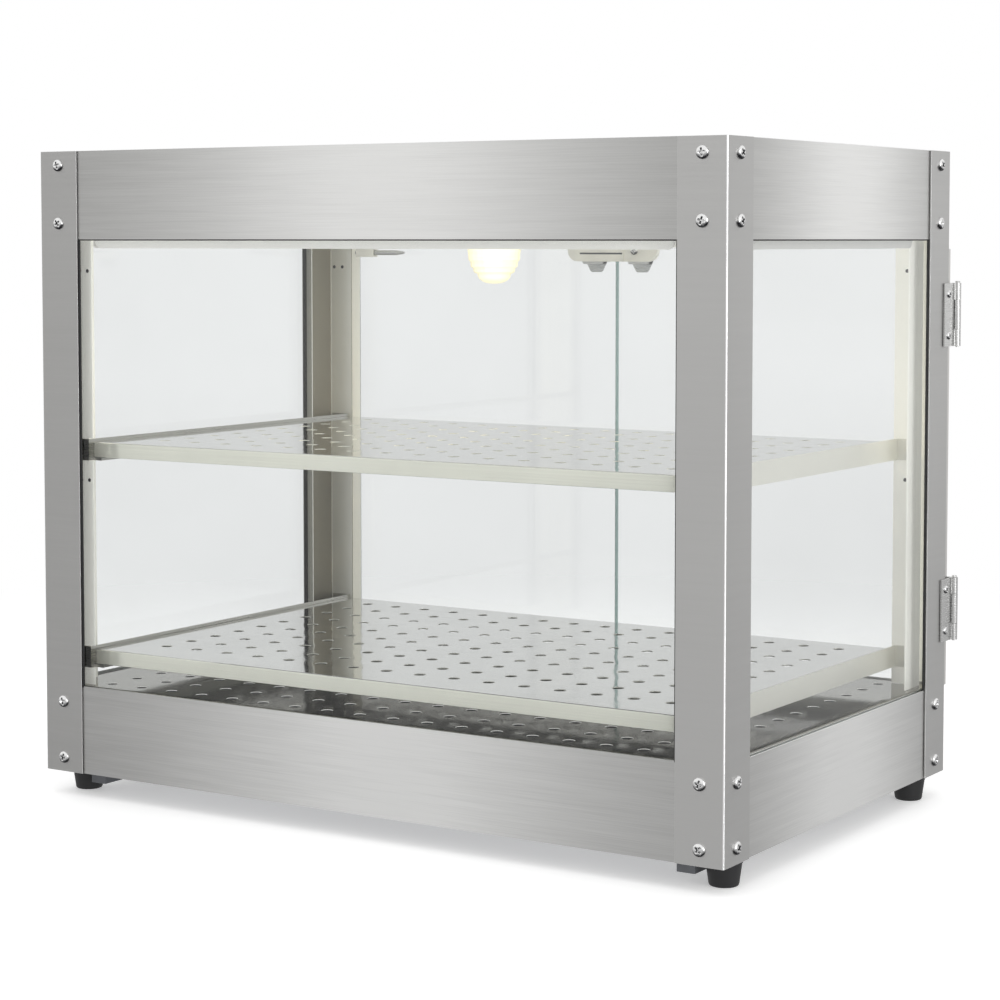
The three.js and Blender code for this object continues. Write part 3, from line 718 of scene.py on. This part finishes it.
def perforated_tray(name, node_name, body, material, counts, first, pitch, chamfer):
    """A tray with punched holes and a folded edge, in the space of the plain CAD tray.

    counts are the columns and rows of holes, first is the hole nearest the corner of the
    case, and pitch is the distance between two holes, along X and along Y.
    """
    low, high = box_mm(node_name)
    top = high.z
    sheet, bend, flange, hole, sides = 1.0, 1.3, 12.0, 4.5, 24
    under = top - sheet
    columns, rows = counts
    shape = bmesh.new()
    half = (pitch[0] / 2, pitch[1] / 2)
    rim = cell_border(*half, sides)
    turn = [2 * math.pi * (k + 0.5) / sides for k in range(sides)]
    circle = [(math.cos(a), math.sin(a)) for a in turn]
    corner_of = {}
    for k in range(sides):
        a, b = rim[k], rim[(k + 1) % sides]
        if abs(abs(a[0]) - half[0]) < 1e-6 and abs(abs(b[1]) - half[1]) < 1e-6:
            corner_of[k] = (a[0], b[1])
        if abs(abs(a[1]) - half[1]) < 1e-6 and abs(abs(b[0]) - half[0]) < 1e-6:
            corner_of[k] = (b[0], a[1])
    made = {}

    def vertex(x, y, z):
        key = (round(x, 3), round(y, 3), round(z, 3))
        if key not in made:
            made[key] = shape.verts.new(at(x, y, z))
        return made[key]

    for column in range(columns):
        for row in range(rows):
            x, y = first[0] + column * pitch[0], first[1] + row * pitch[1]
            wall = ((hole + chamfer, top), (hole, top - chamfer), (hole, under))
            loops = [[(x + c * r, y + s * r, z) for c, s in circle] for r, z in wall]
            for k in range(sides):
                n = (k + 1) % sides
                for upper, lower in zip(loops, loops[1:]):
                    shape.faces.new([vertex(*p) for p in (upper[k], upper[n], lower[n], lower[k])])
                for z, ring in ((top, loops[0]), (under, loops[2])):
                    edge = [rim[k], corner_of[k], rim[n]] if k in corner_of else [rim[k], rim[n]]
                    edge = [(x + a, y + b, z) for a, b in edge]
                    shape.faces.new([vertex(*p) for p in (ring[n], ring[k], *edge)])
    grid = (
        first[0] - half[0],
        first[1] - half[1],
        first[0] + (columns - 0.5) * pitch[0],
        first[1] + (rows - 0.5) * pitch[1],
    )
    level = {(x, y) for x, y, z in made if abs(z - round(top, 3)) < 1e-6}
    around = [p for p in level if on_edge(p, grid)]
    around.sort(key=lambda p: loop_place(p, grid))
    lower = top - flange
    bends = [math.pi / 2 * k / 4 for k in range(1, 5)]
    section = [(bend, top)]
    section += [(bend - bend * math.sin(t), top - bend + bend * math.cos(t)) for t in bends]
    section += [(0.0, lower + 0.35), (0.25, lower), (sheet - 0.25, lower), (sheet, lower + 0.35)]
    section += [(sheet, top - bend - 0.3), (bend + 0.3, under)]
    outer = (low.x, low.y, high.x, high.y)
    rings = [[vertex(p[0], p[1], top) for p in around]]
    for inset, z in section:
        rings.append([vertex(*spread_point(p, grid, outer, inset), z) for p in around])
    rings.append([vertex(p[0], p[1], under) for p in around])
    count = len(around)
    for ring, after in zip(rings, rings[1:]):
        for k in range(count):
            n = (k + 1) % count
            corners = list(dict.fromkeys((ring[k], ring[n], after[n], after[k])))
            if len(corners) > 2:
                shape.faces.new(corners)
    mesh = mesh_from(shape, name)
    tray = new_object(name, mesh, material, body, [node_name])
    smooth_by_angle(tray)


def meets(a, b):
    return abs(a - b) < 2e-3


def on_edge(point, grid):
    x, y = point
    return meets(x, grid[0]) or meets(x, grid[2]) or meets(y, grid[1]) or meets(y, grid[3])


def loop_place(point, grid):
    """Where a point of the grid's edge lies along that edge, going round it once."""
    x, y = point
    if meets(y, grid[1]) and not meets(x, grid[2]):
        return (0, x)
    if meets(x, grid[2]) and not meets(y, grid[3]):
        return (1, y)
    if meets(y, grid[3]) and not meets(x, grid[0]):
        return (2, -x)
    return (3, -y)


def spread_point(point, grid, outer, inset):
    """A point of the grid's edge moved straight out towards the rim of the sheet."""
    x, y = point
    if meets(x, grid[0]):
        x = outer[0] + inset
    elif meets(x, grid[2]):
        x = outer[2] - inset
    if meets(y, grid[1]):
        y = outer[1] + inset
    elif meets(y, grid[3]):
        y = outer[3] - inset
    return x, y


# The finishes

# Zones and the painted highlight bands are a centre and a half width, along X and then along Y, in
# metres.
MIDDLE_X, MIDDLE_Y = at(WIDTH / 2, 0, 0).x, at(0, DEPTH / 2, 0).y
HOLE_ZONE = ((MIDDLE_X, 0.285), (MIDDLE_Y, 0.176))
WALL_HIGHLIGHT_BANDS = ((at(328, 0, 0).x, 0.180), (at(0, 199, 0).y, 0.135))
POST_HIGHLIGHT_BANDS = ((at(WIDTH, 0, 0).x, 0.55), (MIDDLE_Y, 0.3))
POST_TONES = ((0.42, 0.417, 0.411), (0.57, 0.567, 0.56))
# The skin and the corner posts carry the painted highlight bands, from their dark tone to their
# light tone.
SKIN = brushed_steel(
    "skin_steel", (0.45, 0.448, 0.441), (0.93, 0.93, 0.92), 0.36, 0.8, WALL_HIGHLIGHT_BANDS,
)
POST = brushed_steel("post_steel", *POST_TONES, 0.36, 0.8, POST_HIGHLIGHT_BANDS)
# The rear corner posts, with painted light on their inner faces that look forwards.
POST_PAINTED_LIGHT = brushed_steel(
    "post_steel_painted_inner_light", *POST_TONES, 0.36, 0.8, POST_HIGHLIGHT_BANDS, painted_light_behind_y=at(0, 370, 0).y,
)
INNER = brushed_steel(
    "inner_sheet", (0.82, 0.81, 0.74), (0.92, 0.91, 0.84), 0.4, 0.3, depth=0.12, metallic=0.4,
)
# A lit copy of the inner sheet, paler and with a painted glow: painted light for the inner posts at
# the front left and rear right.
INNER_PAINTED_LIGHT = brushed_steel(
    "inner_sheet_painted_light", (0.93, 0.92, 0.85), (0.97, 0.96, 0.90), 0.45, 0.2,
    depth=0.12, metallic=0.0, glow=0.22,
)
# Painted shade on the faces that look along X, and a painted glow.
CEILING = brushed_steel(
    "ceiling_sheet", (0.92, 0.91, 0.87), (0.96, 0.955, 0.91), 0.45, 0.2,
    depth=0.12, metallic=0.0, side=(0.66, 0.66, 0.67), glow=0.10,
)
# A lighter copy of the post steel: painted light on the stile, which stands in shade.
STILE_PAINTED_LIGHT = brushed_steel("door_stile_steel_painted_light", (0.66, 0.655, 0.635), (0.76, 0.755, 0.735), 0.36, 0.8)
# A shaded copy of the inner sheet for the inner post at the rear left: painted shade on its faces
# that look along X.
SHADED = brushed_steel(
    "shaded_inner_sheet", (0.78, 0.775, 0.71), (0.90, 0.89, 0.82), 0.36, 0.3,
    depth=0.12, metallic=0.5, side=(0.36, 0.335, 0.285),
)
# A darker copy of the inner steel for the left shelf rails: painted shade; the right rails keep the
# inner sheet.
RAIL_PAINTED_SHADE = brushed_steel(
    "shelf_rail_steel_painted_shade", (0.46, 0.455, 0.42), (0.60, 0.59, 0.55), 0.3, 0.5, depth=0.2,
)
# A faint painted shade on the faces that look along X, and no painted highlight on the bends.
HINGE = brushed_steel(
    "hinge_plate", (0.60, 0.60, 0.595), (0.70, 0.70, 0.695), 0.28, 0.3,
    depth=0.03, side=(0.97, 0.97, 0.97),
)
# The warm colour of the shelf walls is partly painted lamp light.
MIRROR = polished_steel("mirror_sheet", (0.80, 0.80, 0.785), (0.90, 0.90, 0.80), 0.07, 0.25)
# A darker copy of the mirror steel: painted shade for the shaded shelf it mirrors; the pale hole
# walls are a painted highlight and the hole glow painted light.
DECK = polished_steel("deck_sheet", (0.32, 0.312, 0.282), (0.97, 0.97, 0.92), 0.06, 0.6, 0.5)
# Painted shade on the screw walls that look down and in the cross recesses.
CHROME = screw_steel("chrome_screws", (0.03, 0.03, 0.035), (0.97, 0.97, 0.97))
ZINC = plastic("zinc_plating", (0.36, 0.37, 0.39), 0.42, 1.0, 500.0, 0.15)
HEATER = plastic("heater_sheath", (0.20, 0.19, 0.18), 0.55, 1.0, 700.0, 0.25)
RUBBER = plastic("foot_rubber", (0.012, 0.012, 0.013), 0.55, 0.0, 1300.0, 0.25, 0.35)
BLACK = plastic("black_moulding", (0.014, 0.014, 0.016), 0.36, 0.0, 1600.0, 0.2, 0.25)
RED = plastic("red_moulding", (0.42, 0.02, 0.018), 0.3, 0.0, 1600.0, 0.1, 0.15)
BEIGE = plastic("beige_moulding", (0.93, 0.91, 0.83), 0.42, 0.0, 1300.0, 0.06, 0.2)
FRONT_GLASS = clear_glass("pane_glass_y", 1)
SIDE_GLASS = clear_glass("pane_glass_x", 0)
LENS = lit_glass("lamp_lens_glass", (0.98, 0.89, 0.58), 0.42, 0.3)
BULB = lit_glass("lamp_bulb_glass", (1.0, 0.90, 0.62), 1.2, 0.0)
# Dark slate paint on the under rails, and painted shade in the catch slot.
SLATE_AND_SHADE = plastic("slate_paint_and_shade", (0.11, 0.115, 0.125), 0.5, 0.2, 700.0, 0.15)
MARKS = plastic("printed_marks", (0.05, 0.05, 0.055), 0.5, 0.0, 1500.0, 0.15, 0.1)
WHITE = plastic("white_inlay", (0.78, 0.78, 0.76), 0.45, 0.0, 1500.0, 0.06, 0.1)

FINISHES = {
    "corner_post": POST,
    "inner_post": INNER,
    "inner_post_front_left": INNER_PAINTED_LIGHT,
    "inner_post_rear_left": SHADED,
    "inner_post_rear_right": INNER_PAINTED_LIGHT,
    "foot": RUBBER,
    "top_hood": SKIN,
    "base_skirt": SKIN,
    "ceiling_panel": CEILING,
    "base_plate": ZINC,
    "deck_panel": DECK,
    "under_rail": SLATE_AND_SHADE,
    "glass": SIDE_GLASS,
    "glass_front": FRONT_GLASS,
    "door_glass": FRONT_GLASS,
    "door_stile": STILE_PAINTED_LIGHT,
    "hinge": HINGE,
    "door_catch_body": BEIGE,
    "door_catch_magnet": ZINC,
    "door_clip": HINGE,
    "upper_shelf": MIRROR,
    "lower_shelf": MIRROR,
    "upper_shelf_rail_left": RAIL_PAINTED_SHADE,
    "lower_shelf_rail_left": RAIL_PAINTED_SHADE,
    "upper_shelf_rail_right": INNER,
    "lower_shelf_rail_right": INNER,
    "lamp_socket": BEIGE,
    "lamp_lens": LENS,
    "lamp_bulb": BULB,
    "sensor_clip": BEIGE,
    "sensor_probe": HINGE,
    "heating_element": HEATER,
    "terminal_block": BEIGE,
    "thermostat": BLACK,
    "switch_body": BLACK,
    "power_rocker": RED,
    "cable_gland": BLACK,
}
# Widths in millimetres of the broken edges; a node that is left out keeps its sharp edges.
EDGE_WIDTHS = {
    "corner_post": 0.35,
    "inner_post": 0.25,
    "top_hood": 0.35,
    "base_skirt": 0.3,
    "ceiling_panel": 0.25,
    "under_rail": 0.4,
    "door_stile": 0.35,
    "glass": 0.4,
    "door_glass": 0.5,
    "door_catch_body": 0.6,
    "door_clip": 0.2,
    "hinge_post_leaf": 0.2,
    "hinge_door_leaf": 0.2,
    "sensor_clip": 0.5,
    "upper_shelf_rail": 0.25,
    "lower_shelf_rail": 0.25,
    "switch_body": 0.3,
    "power_rocker": 0.35,
    "terminal_block": 0.4,
}


def by_longest_prefix(table, name):
    """The table's entry whose key is the longest one that the name starts with, or None."""
    keys = [key for key in table if name.startswith(key)]
    return table[max(keys, key=len)] if keys else None


def finish_nodes():
    """Gives every CAD node its finish, and breaks the edges of those in EDGE_WIDTHS."""
    for name, thing in sorted(nodes.items()):
        material = by_longest_prefix(FINISHES, name)
        for index in range(len(thing.material_slots)):
            thing.material_slots[index].link = "OBJECT"
            thing.material_slots[index].material = material
        width = by_longest_prefix(EDGE_WIDTHS, name)
        if width:
            weld = thing.modifiers.new("weld", "WELD")
            weld.merge_threshold = 2e-6
            smooth_by_angle(thing, width)


def add_shelves():
    holes = {"counts": (16, 10), "first": (76.3, 59.3), "pitch": (30.75, 30.8), "chamfer": 0.3}
    for level in ("upper", "lower"):
        name, body = f"{level}_perforated_shelf", f"shelf_{level}"
        perforated_tray(name, f"{level}_shelf", body, MIRROR, **holes)
    holes = {"counts": (18, 12), "first": (46.6, 27.1), "pitch": (30.4, 29.9), "chamfer": 0.1}
    perforated_tray("perforated_deck", "deck_panel", "case", DECK, **holes)


def add_screw_set(name, template, places, rng, body="case"):
    new_object(name, scattered(template, places, name, rng), CHROME, body)


def add_post_screws():
    head = screw_mesh(4.7, 2.0, "post_screw")
    places = []
    for z in POST_SCREW_HEIGHTS:
        for x in (POST_SCREW_INSET, WIDTH - POST_SCREW_INSET):
            places += [(at(x, 0, z), FORWARD), (at(x, DEPTH, z), BACK)]
        for y in (POST_SCREW_INSET, DEPTH - POST_SCREW_INSET):
            places += [(at(0, y, z), LEFT), (at(WIDTH, y, z), RIGHT)]
    add_screw_set("post_screws", head, places, random.Random(20))


def mirrored(outline, left, front):
    """An outline drawn at the front left corner, as it is at one of the four corners."""
    points = [(x if left else WIDTH - x, y if front else DEPTH - y) for x, y in outline]
    return points if left == front else points[::-1]


def add_posts():
    """The corner angles, each with a round bend and fine broken edges."""
    section = corner_outline(POST_FLANGE, POST_SHEET, POST_BEND)
    for front in (True, False):
        for left in (True, False):
            corner = f"{'front' if front else 'rear'}_{'left' if left else 'right'}"
            name = f"post_angle_{corner}"
            mesh = mesh_from(upright(mirrored(section, left, front), 0, HEIGHT), name)
            steel = POST if front else POST_PAINTED_LIGHT
            node_name = f"corner_post_{corner}"
            post = new_object(name, mesh, steel, "case", [node_name])
            smooth_by_angle(post, 0.2, 50)


def add_shade_strips():
    """Painted shade: black strips in the shaded gaps between the posts and the panes, and dark
    strips under the hood.
    """
    gap_outline = [(35, 1.3), (39, 1.3), (39.5, 1.7), (39.5, 2.5), (39, 2.9), (35, 2.9)]
    turned_gap_outline = [(x, y) for y, x in gap_outline]
    outlines = []
    for left in (True, False):
        outlines.append(mirrored(gap_outline, left, True))
        for front in (True, False):
            outlines.append(mirrored(turned_gap_outline, left, front)[::-1])
    strips = [upright(outline, PANE_LOW, PANE_HIGH) for outline in outlines]
    edge = box_mm("top_hood")[0].z
    near, far, end = 1.6, 2.8, 40
    for (x, y), (far_x, far_y) in (
        ((end, near), (WIDTH - end, far)),
        ((near, end), (far, DEPTH - end)),
        ((WIDTH - far, end), (WIDTH - near, DEPTH - end)),
    ):
        strips.append(cuboid(Vector((x, y, edge - 1)), Vector((far_x, far_y, edge - 0.05))))
    mesh = mesh_of(merged(*strips), "glass_gap_shade_strips")
    shade_strips = new_object("glass_gap_shade_strips", mesh, RUBBER, "case")
    smooth_by_angle(shade_strips, 0.2, 40)


def add_rivets():
    """The dark rivets in the punched holes of the inner posts."""
    rivet = [(0, 0.45), (0.8, 0.38), (1.3, 0.12), (1.5, -0.2), (1.5, -0.9), (0, -0.9)]
    shapes = []
    for z in (399, 233):
        for front, spots in ((True, (27, 35)), (False, (20, 29))):
            face = box_mm(f"inner_post_{'front' if front else 'rear'}_left")
            y = face[0].y if front else face[1].y
            for x in [*spots, *(WIDTH - spot for spot in spots)]:
                direction = FORWARD if front else BACK
                shapes.append(placed(turned(rivet, 16), at(x, y, z), direction))
    mesh = mesh_of(merged(*shapes), "post_rivets")
    rivets = new_object("post_rivets", mesh, BLACK, "case")
    smooth_by_angle(rivets)


def add_feet():
    """Tapered rubber feet with a rolled rim, a moulded step and a screw up inside."""
    recess = -12
    profile = [(0, recess), (3.4, recess), (3.7, -18.4), (4.2, -19), (9.3, -19), (10.0, -18.7)]
    profile += [(10.5, -18), (10.75, -17), (12.55, -4.2), (12.45, -3.8), (12.5, -3.4)]
    profile += [(13.1, -2.8), (13.3, -2.0), (13.3, -1.0), (13.0, -0.5), (12.6, -0.3), (0, -0.3)]
    places = []
    for node_name in sorted(n for n in nodes if n.startswith("foot_")):
        low, high = box_mm(node_name)
        middle = (low + high) / 2
        name = node_name.replace("foot_", "rubber_foot_")
        shape = placed(turned(profile, 40), at(middle.x, middle.y, 0))
        foot = new_object(name, mesh_from(shape, name), RUBBER, "case", [node_name])
        smooth_by_angle(foot)
        places.append((at(middle.x, middle.y, recess), DOWN))
    add_screw_set("foot_screws", screw_mesh(3.1, 1.6, "foot_screw"), places, random.Random(4))


def add_hinge_screws():
    head = screw_mesh(3.1, 1.2, "hinge_screw")
    rng = random.Random(8)
    inset = 8.5
    on_posts = []
    on_doors = {"left": [], "right": []}
    for level in ("upper", "lower"):
        for side in ("left", "right"):
            low, high = box_mm(f"hinge_post_leaf_{level}_{side}")
            door_low, door_high = box_mm(f"hinge_door_leaf_{level}_{side}")
            left = side == "left"
            face, outwards = (-HINGE_SHEET, LEFT) if left else (WIDTH + HINGE_SHEET, RIGHT)
            x = door_high.x - 7 if left else door_low.x + 7
            back = door_low.y + 3.9
            for z in (low.z + inset, high.z - inset):
                on_posts.append((at(face, low.y + inset, z), outwards))
                on_doors[side].append((at(x, back, z), BACK))
    add_screw_set("hinge_screws_posts", head, on_posts, rng)
    for side, places in on_doors.items():
        add_screw_set(f"hinge_screws_door_{side}", head, places, rng, f"door_{side}")


def add_base_screws():
    head = screw_mesh(3.0, 1.0, "base_screw")
    plate = box_mm("base_plate")[0].z
    spots = [(x, y) for x in (100, WIDTH / 2, WIDTH - 100) for y in (28, DEPTH - 28)]
    places = [(at(x, y, plate), DOWN) for x, y in spots]
    add_screw_set("base_plate_screws", head, places, random.Random(15))


def add_knob():
    """The thermostat knob: a skirt, a grip with grooves and a raised pointer with a white line."""
    low, high = box_mm("thermostat_knob")
    centre = at((low.x + high.x) / 2, low.y, (low.z + high.z) / 2)
    depth = high.y - low.y
    profile = [(0, 1.2), (3.3, 1.2), (3.3, 0), (19.2, 0), (19.9, 0.5), (20, 1.2), (19.6, 2.6)]
    profile += [(18.6, 3.3), (15.4, 3.6), (15.0, 4.2), (14.8, 6.0), (13.9, depth - 1.6)]
    profile += [(13.3, depth - 0.7), (12.2, depth - 0.35), (9.5, depth - 0.5), (0, depth - 0.6)]
    grip = fluted(profile, 20, 0.9, 9, 11)
    pointer = [(-1.5, 3.5), (1.5, 3.5), (1.1, 13.6), (0, 14.4), (-1.1, 13.6)]
    ridge = prism(pointer, depth - 4, depth - 0.12)
    mesh = mesh_of(placed(merged(grip, ridge), centre, BACK, math.pi), "thermostat_grip")
    grip = new_object("thermostat_grip", mesh, BLACK, "knob", ["thermostat_knob"])
    smooth_by_angle(grip, 0.15, 50)
    line = prism([(-0.5, 4.5), (0.5, 4.5), (0.45, 12.6), (-0.45, 12.6)], depth - 0.5, depth)
    mesh = mesh_from(placed(line, centre, BACK, math.pi), "thermostat_pointer")
    mark = new_object("thermostat_pointer", mesh, WHITE, "knob")
    smooth_by_angle(mark, 0.05)


def add_dial():
    """A ring of printed ticks round the knob, longer and wider towards the hot end."""
    low, high = box_mm("thermostat_knob")
    centre = at((low.x + high.x) / 2, DEPTH - SKIN_INSET, (low.z + high.z) / 2)
    count, sweep = 10, 270
    ticks = []
    for k in range(count + 1):
        angle = math.radians(sweep * k / count)
        half = 0.25 + 0.035 * k
        inner, outer = 21.5, 24.0 + 0.22 * k
        tick = prism([(-half, inner), (half, inner), (half, outer), (-half, outer)], 0, 0.12)
        ticks.append(placed(tick, centre, BACK, math.pi + angle))
    mesh = mesh_of(merged(*ticks), "dial_ticks")
    dial = new_object("dial_ticks", mesh, MARKS, "case")
    smooth_by_angle(dial, 0.03)


def add_gland():
    """The cable gland: a hexagon collar, a grooved cap nut, a rubber seal and the nut inside."""
    low, high = box_mm("cable_gland")
    centre = at((low.x + high.x) / 2, low.y, (low.z + high.z) / 2)
    wall, top = DEPTH - low.y, high.y - low.y
    face = wall + 2.6
    hexagon = [(11 * math.cos(math.pi / 3 * k), 11 * math.sin(math.pi / 3 * k)) for k in range(6)]
    wide = [(a * 1.045, b * 1.045) for a, b in hexagon]
    collar = prism(hexagon, wall - 1.4, face)
    nut = prism([(min(10, max(-10, a)), b) for a, b in wide], 2, 7.6)
    neck = turned([(4.2, 0), (7.5, 0), (7.5, wall), (4.2, wall), (4.2, 0)], 40)
    cap = [(4.6, face), (8.7, face), (9, wall + 3.1), (8.8, top - 6), (8.2, top - 3.4)]
    cap += [(7.2, top - 1.2), (6.2, top - 0.1), (5.0, top), (4.6, top - 0.4), (4.6, face)]
    shell = fluted(cap, 14, 0.6, 2, 4)
    mesh = mesh_of(placed(merged(collar, nut, neck, shell), centre, BACK), "gland_body")
    gland = new_object("gland_body", mesh, BLACK, "case", ["cable_gland"])
    smooth_by_angle(gland, 0.25, 50)
    ring = [(4.1, 1), (4.55, 1), (4.55, top - 1), (4.1, top - 0.8), (4.0, top - 2), (4.1, 1)]
    mesh = mesh_from(placed(turned(ring, 32), centre, BACK), "gland_seal")
    seal = new_object("gland_seal", mesh, RUBBER, "case")
    smooth_by_angle(seal)


def add_lamp():
    """The lamp glass: a bell of pressed glass with stepped rings and a domed tip."""
    low, high = box_mm("lamp_lens")
    x, y = (low.x + high.x) / 2, (low.y + high.y) / 2
    bottom, top, wall = low.z, high.z, 1.5
    steps = [(0, 0), (3.5, 0.15), (7.0, 0.8), (9.6, 2.0), (11.6, 3.6), (12.9, 5.6), (13.4, 7.8)]
    steps += [(15.6, 8.6), (16.4, 9.8), (16.7, 12.2), (18.1, 12.9), (18.6, 14.0), (18.9, 17.4)]
    steps += [(20.0, 18.2), (20.4, 19.4), (20.6, 24.5), (21, 25.3)]
    outer = [(r, bottom + rise) for r, rise in steps] + [(21, top - 0.6), (20.6, top)]
    inner = [(max(0.0, r - wall), z + wall if r < 14 else z) for r, z in outer[:-2]]
    inner[0] = (0, bottom + wall)
    profile = outer + [(19.2, top)] + inner[::-1]
    mesh = mesh_from(placed(fluted(profile, 24, 0.25, 7, 16, 4), at(x, y, 0)), "lamp_bell")
    bell = new_object("lamp_bell", mesh, LENS, "case", ["lamp_lens"])
    smooth_by_angle(bell)


def add_catch():
    """The door catch: a moulded bar with round ends and a slot, one screw, and the clip's screw."""
    low, high = box_mm("door_catch_body")
    half = (high.z - low.z) / 2
    middle = (low.z + high.z) / 2
    steps = 8
    points = []
    for centre, start in ((high.x - half, -math.pi / 2), (low.x + half, math.pi / 2)):
        for k in range(steps + 1):
            a = start + math.pi * k / steps
            points.append((centre + half * math.cos(a), middle + half * math.sin(a)))
    shape = bmesh.new()
    rings = [[shape.verts.new(at(x, y, z)) for x, z in points] for y in (low.y, high.y)]
    shape.faces.new(rings[0])
    shape.faces.new(rings[1])
    for k in range(len(points)):
        n = (k + 1) % len(points)
        shape.faces.new((rings[0][k], rings[0][n], rings[1][n], rings[1][k]))
    seat_low, seat_high = box_mm("door_catch_magnet")
    seat = cuboid(seat_low - Vector((0.3, 0.3, 0.3)), seat_high + Vector((0.3, 1, 0.3)))
    slot_low = Vector((low.x + 12, low.y - 1, low.z + 6.2))
    slot_high = Vector((high.x - 34, low.y + 0.9, low.z + 7.6))
    step_low = Vector((high.x - 33, low.y - 1, low.z - 1))
    step_high = Vector((high.x - 31.6, low.y + 0.8, high.z + 1))
    cutters = [seat, cuboid(slot_low, slot_high), cuboid(step_low, step_high)]
    mesh = carved(shape, cutters, "catch_bar")
    bar = new_object("catch_bar", mesh, BEIGE, "case", ["door_catch_body"])
    smooth_by_angle(bar, 0.35, 40)
    # Painted shade: a dark block at the bottom of the slot.
    slot_low.y = low.y + 0.35
    mesh = mesh_from(cuboid(slot_low, slot_high), "catch_slot_painted_shade")
    slot = new_object("catch_slot_painted_shade", mesh, SLATE_AND_SHADE, "case")
    smooth_by_angle(slot, 0.15, 40)
    clip_low, clip_high = box_mm("sensor_clip")
    places = [
        (at(high.x - 22, low.y, middle), FORWARD),
        (at((clip_low.x + clip_high.x) / 2, clip_low.y, clip_high.z - 4.2), FORWARD),
    ]
    head = screw_mesh(3.4, 1.7, "catch_screw")
    add_screw_set("catch_screws", head, places, random.Random(31))


add_camera()
add_world()
add_floor()
add_lights()
finish_nodes()
add_posts()
add_shelves()
add_post_screws()
add_hinge_screws()
add_base_screws()
add_feet()
add_shade_strips()
add_rivets()
add_knob()
add_dial()
add_gland()
add_lamp()
add_catch()

scene.view_settings.view_transform = "Standard"
